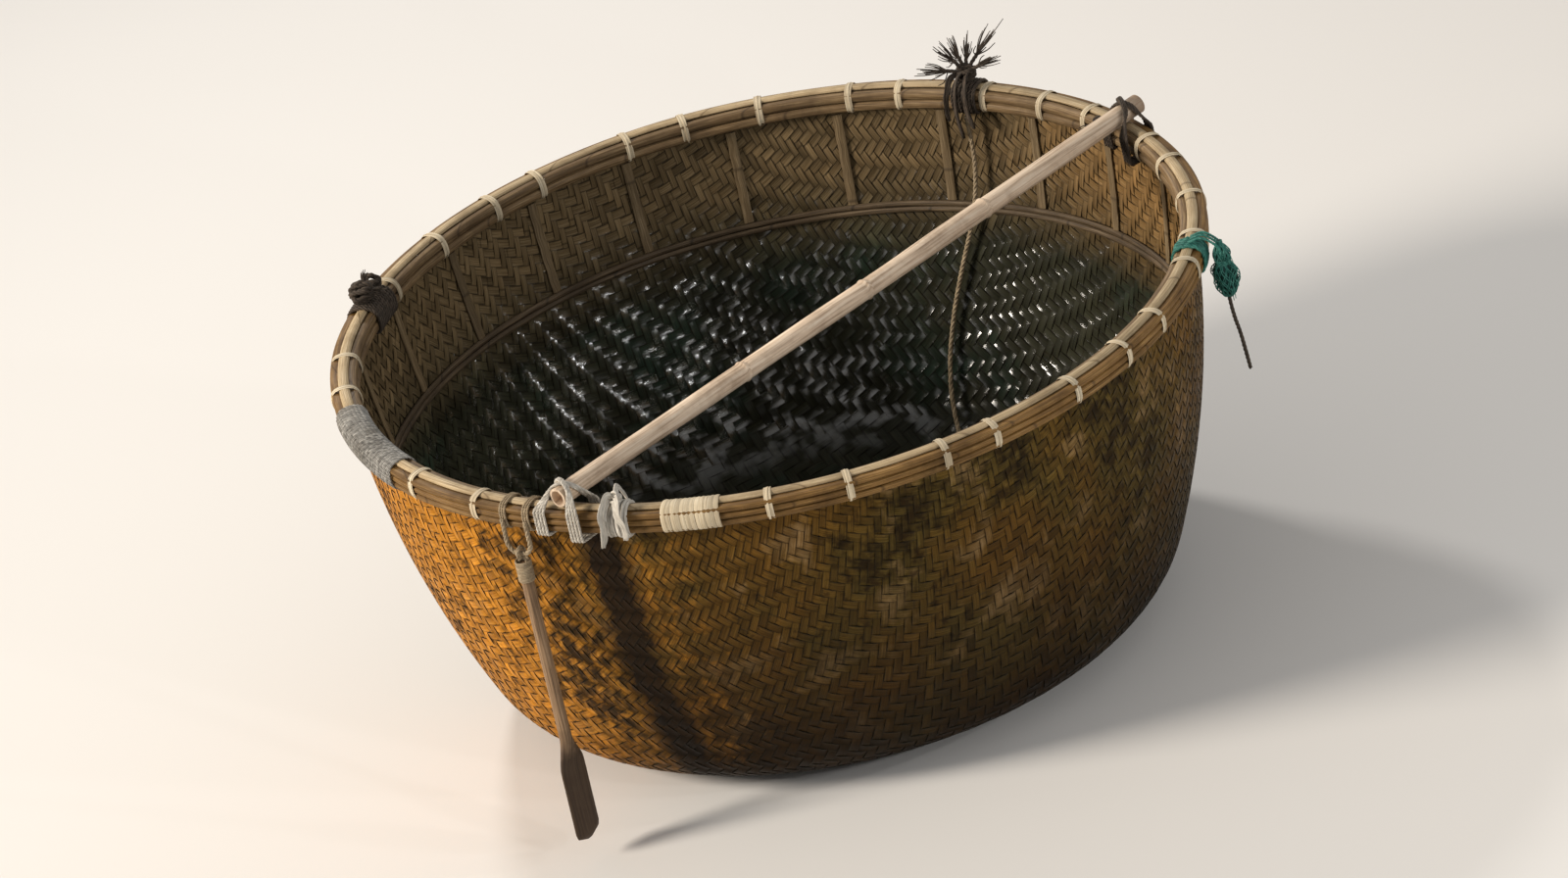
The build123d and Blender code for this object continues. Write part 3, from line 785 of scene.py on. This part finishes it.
# Pole, a bamboo with node rings and open ends
POLE_WALL = 0.005
pole = Piece()
near_end = -half_chord + 0.014
pole_length = half_chord + 0.012 - near_end
rings = [0.570, 0.950, 1.330]
around_ring = (-0.016, -0.004, 0.0, 0.003, 0.006, 0.010, 0.014, 0.026)
stations = sorted({k * pole_length / 60 for k in range(61)} | {r + d for r in rings for d in around_ring})
path, radii = [], []
for station in stations:
    sway = 0.0012 * sin(station * 5.1) + 0.0008 * sin(station * 11.3)
    path.append(pole_mid + pole_dir * (near_end + station) + pole_side * sway)
    radius = POLE_R - 0.0006 + 0.0004 * sin(station * 17)
    for r in rings:
        ridge = 0.0026 * exp(-(((station - r - 0.003) / 0.0042) ** 2))
        radius += ridge - 0.0012 * exp(-(((station - r - 0.010) / 0.0022) ** 2))
    radii.append(radius)
bevel = pole_dir * 0.0004
bore = radii[0] - POLE_WALL
outside = [path[0] - bevel] + path + [path[-1] + bevel]
pole.tube(outside, [bore] + radii + [radii[-1] - POLE_WALL], 24, ends=False)
for end, inward in ((path[0], pole_dir), (path[-1], -pole_dir)):
    hollow = [end, end + inward * 0.03, end + inward * 0.031]
    pole.tube(hollow, [bore, radii[0] - 0.006, 0.0005], 24, ends=False)
pole.make("thwart_pole_bamboo", POLE, "pole", "thwart_pole", sharp=60)


# Rope that lashes the pole to the rim
def knot(piece, centre, radius, rope_radius, turns, strands=3):
    """Ball of rope: loops of one cord in many planes."""
    points = []
    for k in range(14 * turns + 1):
        t = 2 * pi * k / 14
        tilt = 0.9 * t / turns + 0.4
        reach = (radius - rope_radius) * (0.82 + 0.14 * sin(3.3 * t + 1.1))
        points.append(centre + reach * Vector((cos(t), sin(t) * cos(tilt), sin(t) * sin(tilt))))
    piece.rope(smooth_line(points, 3), rope_radius, strands)


def fray(piece, start, direction, length, thick, droop, fibres):
    """Rope end that opens into loose fibres."""
    direction = Vector(direction).normalized()
    bend = UP * -droop
    mid = start + direction * length * 0.42 + bend * 0.25
    piece.rope(smooth_line([start, start + direction * length * 0.2 + bend * 0.05, mid], 8), thick)
    for _ in range(fibres):
        spread = Vector((draw.gauss(0, 1), draw.gauss(0, 1), draw.gauss(0, 1))) * length * 0.085
        end = start + direction * length * draw.uniform(0.65, 1.0) + bend + spread
        line = smooth_line([mid - direction * 0.006, mid.lerp(end, 0.5) + spread * 0.25, end], 4)
        piece.tube(line, [0.0017 - 0.0001 * k for k in range(len(line))], 4)


def pole_turn(crossing, swap_sides, k, count, radius, lift):
    """One turn that grips the rim, climbs beside the pole and crosses over it to the rim's other side."""
    outward = atan2(crossing.y, crossing.x)
    along = pole_dir if cos(outward - POLE_TURN) > 0 else -pole_dir
    across = Vector((-along.y, along.x, 0)) * swap_sides
    out, rim_way = level_axes(outward)
    pitch = 2.06 * radius
    clear = radius + 0.0006

    def beside(aside, radial):
        """Point at a distance beside the pole's line, at a distance outwards from the cap's middle."""
        shift = (aside - radial * out.dot(across)) / rim_way.dot(across)
        turn, distance = outward + shift / CAP_MID, CAP_MID + radial
        return Vector((distance * cos(turn), distance * sin(turn), 0))

    first = POLE_R + clear + lift + pitch * k
    last = POLE_R + clear + lift + pitch * (count - 1 - k)
    outer_face = wall_at(-OUTER_W, H) - CAP_MID + clear + lift
    inner_face = wall_at(SKIN + INNER_W, INNER_LOW) - CAP_MID - clear - lift
    outer_low, inner_low = OUTER_LOW - clear - lift, INNER_LOW - clear - lift
    a, b = beside(-first, outer_face), beside(last, inner_face)
    start = beside(-first, wall_at(0.004, OUTER_LOW) - CAP_MID)
    corners = [(start, outer_low), (a, outer_low), (a, H + clear)]
    reach = POLE_R + clear + lift
    base = Vector((crossing.x, crossing.y, 0))
    for angle in (-62, -35, -12, 12, 35, 62):
        run = (a.lerp(b, 0.5 + angle / 340) - base).dot(along)
        theta = radians(angle)
        corners.append((base + along * run + across * reach * sin(theta), POLE_Z + reach * cos(theta)))
    end = beside(last, wall_at(0.006, INNER_LOW) - CAP_MID)
    corners += [(b, H + clear), (b, inner_low), (end, inner_low)]
    return tight([Vector((q.x, q.y, z)) for q, z in corners])


def pole_lashing(crossing, radius, count):
    piece = Piece()
    for layer, way in enumerate((1, -1)):
        for k in range(count):
            piece.rope(pole_turn(crossing, way, k, count, radius, 2.1 * radius * layer), radius, lay=7.0)
    return piece


LASH_ROPE_R = 0.0034
far_lash = pole_lashing(far_cross, LASH_ROPE_R, 5)
knot_at = far_cross - pole_dir * 0.050 + pole_side * 0.030 - UP * 0.004
knot(far_lash, knot_at, 0.017, 0.0042, 4)
fray(far_lash, knot_at, (-0.3, 0.55, -0.5), 0.055, 0.0036, 0.016, 10)
fray(far_lash, knot_at, (-0.75, -0.1, 0.2), 0.050, 0.0036, 0.020, 10)
far_lash.make("pole_lashing_far_rope", DARK, "dark_rope", "pole_lashing_far")
near_lash = pole_lashing(near_cross, LASH_ROPE_R, 4)
near_lash.make("pole_lashing_near_rope", PALE, "pale_rope", "pole_lashing_near")

# Stringer hoop and battens
st_low, st_high = (corner.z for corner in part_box("stringer_hoop"))
stringer_laths = lath_stack(SKIN + 0.0006, SKIN + 0.0088, st_low, st_high, 2, 0.0004, sides=8)
hoop_piece("stringer_laths", STRINGER, "hoop", "stringer_hoop", stringer_laths, steps=180)
BATTENS = 24
batten_high = INNER_LOW - TIE_T - 2 * GAP
battens = Piece()
for i in range(BATTENS):
    strand = draw.random()
    lean = draw.uniform(-0.004, 0.004)
    sections = []
    for k in range(9):
        level = st_high + GAP + (batten_high - st_high - GAP) * k / 8
        turn = 360 / BATTENS * i + arc_of(lean * (k / 8 - 0.5))
        flat = polar(wall_at(SKIN + 0.0004, level), turn, level)
        face = polar(wall_at(SKIN + 0.0052, level), turn, level)
        edge = face.lerp(flat, 0.4)
        half = level_axes(radians(turn))[1] * (0.0105 * (1 - 0.05 * sin(3.0 * k + i)))
        seat = [flat - half, flat + half]
        sections.append(seat + [edge + half, face + half * 0.5, face - half * 0.5, edge - half])
    battens.sweep(sections, strand)
battens.make("wall_batten_strips", BATTEN, "lath", "wall_battens", sharp=40)


# Knots and ties
def rag(piece, route, width, folds=3):
    """Torn strip of cloth with soft folds along it."""
    strand = draw.random()
    line = smooth_line(route, 6)
    phase = draw.uniform(0, 6)
    sections = []
    for i, (point, side, lift, _) in enumerate(frames(line)):
        share = i / (len(line) - 1)
        taper = 1.0 if share < 0.9 else 1.0 - 3.5 * (share - 0.9)
        half = width / 2 * (0.72 + 0.28 * sin(2.6 * share + phase) ** 2) * taper
        top, bottom = [], []
        for k in range(9):
            across = -1 + 2 * k / 8
            fold = 0.0024 * sin(folds * pi * across + phase + 3.0 * share)
            torn = 1 + 0.10 * sin(23 * share + 5 * k)
            base = point + side * (half * across * torn) + lift * fold
            top.append(base + lift * 0.0007)
            bottom.append(base - lift * 0.0007)
        sections.append(top + bottom[::-1])
    piece.sweep(sections, strand)


far_tie = Piece()
ropes_round_rim(far_tie, FAR_AZ, FAR_LEN - END_ROOM, TIE_ROPE_R, GAP)
knot_place = polar(CAP_MID, FAR_AZ, CAP_TOP + GAP + 0.025)
knot(far_tie, knot_place, 0.026, 0.0048, 6)
# azimuth, steepness and length of each frayed end
for azimuth, steep, length in (
    (200, 62, 0.120), (120, 70, 0.095), (10, 48, 0.126), (330, 30, 0.105), (185, 25, 0.110), (60, 60, 0.085)
):
    a, b = radians(azimuth), radians(steep)
    fray(far_tie, knot_place, (cos(a) * cos(b), sin(a) * cos(b), sin(b)), length, 0.0046, 0.010, 20)
far_out, far_along = level_axes(radians(FAR_AZ))
# place along the rim, width and drop of each strip that hangs inside
for shift, width, drop in ((-0.020, 0.016, 0.085), (0.004, 0.018, 0.110), (0.024, 0.014, 0.070)):
    lip = knot_place - far_out * 0.052 + far_along * shift - UP * 0.022
    foot = lip - far_out * 0.002 + far_along * 0.3 * shift - UP * drop
    over = knot_place - far_out * 0.030 + far_along * shift * 0.8 + UP * 0.004
    route = [knot_place + far_along * shift * 0.3, over, lip, lip.lerp(foot, 0.5) + far_along * 0.005, foot]
    rag(far_tie, route, width)
far_tie.make("far_tie_rope", DARK, "dark_rope", "far_tie")

left_tie = Piece()
ropes_round_rim(left_tie, LEFT_AZ, LEFT_LEN - END_ROOM, TIE_ROPE_R, GAP)
left_high = polar(CAP_MID, LEFT_AZ + arc_of(LEFT_LEN / 4), CAP_TOP + GAP + 0.030)
left_other = polar(CAP_MID, LEFT_AZ - arc_of(LEFT_LEN / 4), CAP_TOP + GAP + 0.024)
knot(left_tie, left_high, 0.031, 0.0058, 6)
knot(left_tie, left_other, 0.025, 0.0052, 5)
fray(left_tie, left_high, (0.2, 0.5, 0.45), 0.060, 0.0044, 0.008, 12)
fray(left_tie, left_high, (0.7, -0.2, 0.25), 0.060, 0.0044, 0.018, 12)
left_tie.make("left_tie_rope", DARK, "dark_rope", "left_tie")

near_tie = Piece()
for k, place in enumerate(side_by_side(NEAR_AZ, 5, 0.0115)):
    rag(near_tie, rim_path(0.0042 + 0.0006 * k, place, draw.uniform(-0.010, 0.010))[::3], 0.017, 2)
knot_top = polar(CAP_MID, NEAR_AZ, CAP_TOP + GAP + 0.016)
knot(near_tie, knot_top, 0.0165, 0.0050, 4, strands=2)
rag_out, rag_along = level_axes(radians(NEAR_AZ))
# place along and out from the knot, rise of its bend and drop of each loose end
for along, out, up_by, drop in (
    (-0.020, 0.030, 0.012, 0.075), (0.018, 0.034, 0.010, 0.055), (-0.004, -0.040, 0.014, 0.045)
):
    bend = knot_top + rag_along * along * 0.5 + rag_out * out * 0.6 + UP * up_by
    edge = knot_top + rag_along * along + rag_out * (out + copysign(0.012, out)) - UP * 0.018
    end = edge + rag_out * copysign(0.004, out) + rag_along * along * 0.5 - UP * drop
    route = [knot_top + rag_out * out * 0.2, bend, edge, edge.lerp(end, 0.5) + rag_along * 0.004, end]
    rag(near_tie, route, 0.020)
near_tie.make("near_tie_rag", PALE, "pale_rope", "near_tie")

# Net bag
net = Piece()
for k, place in enumerate(side_by_side(NET_AZ, 5, 0.0092)):
    turn_line = rim_path(0.0045, place, draw.uniform(-0.006, 0.006), 3)
    wavy = [q + UP * (0.0012 * sin(1.7 * i + k)) for i, q in enumerate(turn_line)]
    net.rope(wavy, 0.0040, strands=4, lay=9.0)
NET_R, NET_H, NET_OUT = 0.032, 0.140, 0.0352
rim_out = wall_at(-OUTER_W, H)
net_mid = polar(rim_out + NET_OUT, NET_AZ, H + 0.012 - NET_H / 2)
net_angle = radians(NET_AZ)
net_out, net_along = level_axes(net_angle)


def bag_point(turn, share, lobe=0.0):
    """Point on the bunched net: turn round it, share from its bottom to its top."""
    swell = (0.30 + 0.70 * sin(pi * min(share * 1.08, 1.0)) ** 0.6) * (1.0 - 0.25 * share**3)
    crease = 1 + 0.16 * sin(4 * turn + 7 * share + lobe) + 0.10 * sin(7 * turn - 11 * share + 2 * lobe)
    waist = 1 - 0.34 * exp(-(((share - 0.62) / 0.07) ** 2))
    radius = NET_R * 0.80 * swell * crease * waist
    return net_mid + Vector((radius * cos(turn), radius * sin(turn), (share - 0.5) * (NET_H - 0.008)))


# dark core behind the net's strands: the bunched netting, darkened as painted shade
core = Piece()
rows = []
for i in range(27):
    middle = net_mid + UP * ((i / 26 - 0.5) * 0.125)
    rows.append([bag_point(2 * pi * k / 32, i / 26).lerp(middle, 0.16) for k in range(32)])
core.sweep(rows, 0.05)
core.make("net_core_shade", NET_CORE_SHADE, "net", "net_bundle")
for shift in (-0.012, 0.002, 0.014):
    over = net_mid + net_along * shift
    inner = over - net_out * 0.060
    crown = 0.5 * (inner + over)
    places = ((inner, H + 0.020 - 0.003), (crown, H + 0.020 + 0.003), (over, H - 0.004), (over, H - 0.030))
    net.rope(smooth_line([Vector((q.x, q.y, z)) for q, z in places], 8), 0.0032, strands=4)
for lobe in (0.0, 1.3):
    for way in (-1, 1):
        for k in range(11):
            start = 2 * pi * k / 11 + lobe
            line = [bag_point(start + way * 2.6 * i / 30, i / 30, 0.2 * lobe) for i in range(31)]
            net.tube(line, 0.0011, 4, strand=0.5 + 0.5 * draw.random())
waist_turns = [bag_point(2 * pi * k / 24, 0.62 + 0.004 * sin(k)) for k in range(24 * 3 + 1)]
net.rope([q + UP * (0.004 * (i / 24 - 1.5)) for i, q in enumerate(waist_turns)], 0.0026)
for k in range(9):
    a = net_angle + draw.uniform(-1.3, 1.3)
    root = bag_point(a, draw.uniform(0.05, 0.9))
    drop = UP * draw.uniform(0.012, 0.030)
    out = level_axes(a)[0] * draw.uniform(0.001, 0.004)
    net.tube(smooth_line([root, root + out - drop * 0.5, root + out * 0.6 - drop], 4), 0.0011, 4)
net.make("net_bag", NET, "net", "net_bundle")


# Cords
def nurbs_line(name, route):
    """Smooth line of a route, with the curve's own points."""
    curve = bpy.data.curves.new(name, "CURVE")
    curve.dimensions = "3D"
    curve.resolution_u = 16
    spline = curve.splines.new("NURBS")
    spline.points.add(len(route) - 1)
    for point, place in zip(spline.points, route):
        point.co = (*polar(*place), 1.0)
    spline.order_u = 3
    spline.use_endpoint_u = True
    holder = placed(name, curve)
    bpy.context.view_layer.update()
    mesh = bpy.data.meshes.new_from_object(holder)
    line = [v.co.copy() for v in mesh.vertices]
    bpy.data.meshes.remove(mesh)
    bpy.data.objects.remove(holder)
    return line


def line_length(line):
    return sum((b - a).length for a, b in zip(line, line[1:]))


# radius, azimuth and height of each point, as in part.py
rope_route = [
    (0.883, 55.0, 0.7813), (0.880, 54.7, 0.705), (0.867, 55.1, 0.620), (0.857, 56.6, 0.535),
    (0.842, 58.8, 0.450), (0.821, 60.6, 0.370), (0.797, 62.0, 0.292), (0.768, 62.7, 0.218),
    (0.735, 62.4, 0.152), (0.700, 61.0, 0.098), (0.652, 58.6, 0.060), (0.594, 55.2, 0.042),
    (0.545, 50.2, 0.039), (0.521, 43.4, 0.037),
]
tail_route = [
    (0.983, 344.5, 0.7067), (0.984, 344.4, 0.665), (0.989, 344.9, 0.618),
    (0.993, 344.6, 0.570), (0.994, 344.9, 0.530),
]
rope_line = nurbs_line("rope_line", rope_route)
hanging = Piece()
hanging.rope(rope_line, 0.0055, lay=7.0)
hanging_piece = hanging.make("inside_rope_laid", ROPE, "rope", "inside_rope")
end_knot = Piece()
way = (rope_line[-1] - rope_line[-2]).normalized()
knot(end_knot, rope_line[-1] + way * 0.013, 0.0128, 0.0042, 4)
knot_piece = end_knot.make("inside_rope_knot", ROPE, "rope", "rope_knot")
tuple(rope_line[0])
line_length(rope_line)
tail_line = nurbs_line("tail_line", tail_route)
net_tail = Piece()
net_tail.rope(tail_line, 0.0045, lay=7.0)
tail_piece = net_tail.make("net_tail_laid", DARK, "dark_rope", "net_tail")
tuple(tail_line[0])
line_length(tail_line)

# Becket and paddle, measured from the paddle's pivot
BECKET_R = 0.006
BECKET_HALF = 0.030
pivot_radius = rim_out + GAP + BECKET_R
PIVOT_Z = H - 0.100
pivot = polar(pivot_radius, PADDLE_AZ, PIVOT_Z)
outward, sideways = level_axes(radians(PADDLE_AZ))
becket = Piece()
for side in (-1, 1):
    ropes_round_rim(becket, PADDLE_AZ + side * degrees(BECKET_HALF / pivot_radius), 0.018, 0.0029, 0.0003)
# half of the loop, sideways and up, from its bottom
half_loop = [(0.008, 0.0), (0.018, 0.0015), (0.0295, 0.018), (BECKET_HALF, 0.045), (BECKET_HALF, 0.076)]
corners = [(-x, z) for x, z in reversed(half_loop)] + half_loop
becket.rope(smooth_line([pivot + sideways * x + UP * z for x, z in corners], 6), 0.0056)
becket.make("becket_rope", ROPE, "rope", "becket")

# rope eye, with a whipping down to the paddle's shaft
eye = Piece()
ring_r = BECKET_R + GAP + 0.005
whip_top = BECKET_R + GAP + 0.010 - 0.001
circle = [2 * pi * k / 40 for k in range(41)]
eye.rope([pivot + (outward * cos(t) + UP * sin(t)) * (ring_r + 0.0003) for t in circle], 0.0046)
WHIP_R, WHIP_CORD_R, WHIP_PITCH = 0.0162, 0.0018, 0.0034
circle = [2 * pi * k / 24 for k in range(25)]
for k in range(14):
    centre = Vector((pivot.x, pivot.y, PIVOT_Z - (whip_top + 0.004 + WHIP_PITCH * k)))
    turn = [centre + (outward * cos(t) + sideways * sin(t)) * WHIP_R for t in circle]
    eye.tube(turn, WHIP_CORD_R, 6, ends=False)
for side in (-1, 1):
    leg = ((0.003, ring_r - 0.002), (0.010, whip_top + 0.006), (0.0125, whip_top + 0.030))
    eye.rope(smooth_line([pivot + sideways * side * x - UP * drop for x, drop in leg], 6), 0.0032)
eye.make("paddle_eye_rope", ROPE, "rope", "paddle_eye", body="paddle")

paddle = Piece()
SHAFT_HALF = 0.0135
LENGTH, BLADE_LEN, BLADE_W, BLADE_T = 0.690, 0.250, 0.078, 0.018
shaft_top = whip_top + 0.009
sections = []
for i in range(60):
    drop = shaft_top + (LENGTH - 0.0005 - shaft_top) * i / 59
    flare = min(max((drop - LENGTH + BLADE_LEN) / BLADE_W, 0.0), 1.0)
    half_w = SHAFT_HALF + (BLADE_W / 2 - SHAFT_HALF) * (flare * flare * (3 - 2 * flare))
    half_t = SHAFT_HALF + (BLADE_T / 2 * 0.82 - SHAFT_HALF) * flare
    to_tip = (LENGTH - drop) / (BLADE_W / 4)
    if to_tip < 1:
        half_w *= sqrt(max(1 - (1 - to_tip) ** 2, 0.0)) * 0.96 + 0.04
        half_t *= 0.4 + 0.6 * max(to_tip, 0.05)
    if i < 3:
        half_w = half_t = SHAFT_HALF * (0.75 + 0.125 * i)
    section = []
    for k in range(20):
        a = 2 * pi * k / 20
        x = signed_power(cos(a), 1.0 - 0.25 * flare) * half_w
        y = signed_power(sin(a), 1.0 - 0.25 * flare) * half_t
        section.append(pivot + outward * x + sideways * y - UP * drop)
    sections.append(section)
paddle.sweep(sections, 0.4)
paddle.make("paddle_wood", PADDLE, "paddle", "paddle", body="paddle")

# Floor, lights and camera
floor_mesh = bpy.data.meshes.new("floor")
floor_corners = [(x, y, -0.0005) for x, y in ((-40, -40), (40, -40), (40, 40), (-40, 40))]
floor_mesh.from_pydata(floor_corners, [], [(0, 1, 2, 3)])
floor_look = Look(bpy.data.materials.new("floor"))
floor_look.set("Base Color", (0.80, 0.78, 0.75, 1))
floor_look.set("Roughness", 0.9)
floor_mesh.materials.append(floor_look.owner)
placed("floor", floor_mesh)


def area_light(name, azimuth, elevation, distance, size, power, colour=(1, 1, 1), spread=180):
    """Round lamp turned to the boat. spread is the width of its beam in degrees."""
    a, e = radians(azimuth), radians(elevation)
    data = bpy.data.lights.new(name, "AREA")
    data.shape = "DISK"
    data.size = size
    data.energy = power
    data.color = colour
    data.spread = radians(spread)
    lamp = placed(name, data)
    place = Vector((cos(a) * cos(e), sin(a) * cos(e), sin(e))) * distance
    lamp.location = Vector((0, 0, 0.5)) + place
    lamp.rotation_euler = place.to_track_quat("Z", "Y").to_euler()


area_light("key", 190, 27, 14.0, 4.05, 250, (1.0, 0.91, 0.80), spread=60)
area_light("back", 110, 42, 6.5, 0.7, 150, (1.0, 0.97, 0.93))
for azimuth, height in ((298, 21), (316, 18), (336, 20)):
    area_light("glint", azimuth, height, 6.5, 0.27, 36)
LIGHT_STRENGTH, BACKDROP_STRENGTH = 0.31, 0.80
world = bpy.data.worlds.new("world")
bpy.context.scene.world = world
sky = Look(world, "Background")
sky.set("Color", (1.0, 0.98, 0.96, 1))
# the camera and reflections see a pale backdrop, and other rays get the weaker light
rays = sky.node("LightPath").outputs
seen = rays["Is Camera Ray"]
for kind in ("Is Glossy Ray", "Is Transmission Ray"):
    seen = sky.math("MAXIMUM", seen, rays[kind])
sky.set("Strength", sky.grade(seen, 0.0, 1.0, LIGHT_STRENGTH, BACKDROP_STRENGTH))

# The rim has the tilt and roll that it has in the photograph
RIM_TILT = radians(26.9)
ROLL = radians(13.1)
DISTANCE = 31.9
VIEW_WIDTH = 3.34
SENSOR_WIDTH = 36
back = Vector((0, -cos(RIM_TILT), sin(RIM_TILT)))
level_right = Vector((1, 0, 0))
level_up = Vector((0, sin(RIM_TILT), cos(RIM_TILT)))
right = level_right * cos(ROLL) - level_up * sin(ROLL)
cam_up = level_right * sin(ROLL) + level_up * cos(ROLL)
camera_data = bpy.data.cameras.new("camera")
camera_data.lens = SENSOR_WIDTH * DISTANCE / VIEW_WIDTH
camera_data.clip_end = 200
camera = placed("camera", camera_data)
target = Vector((-0.035, 0.0, 0.485))
turned = Matrix((right, cam_up, back)).transposed().to_4x4()
camera.matrix_world = Matrix.Translation(target + back * DISTANCE) @ turned
bpy.context.scene.camera = camera
bpy.context.scene.view_settings.view_transform = "Standard"
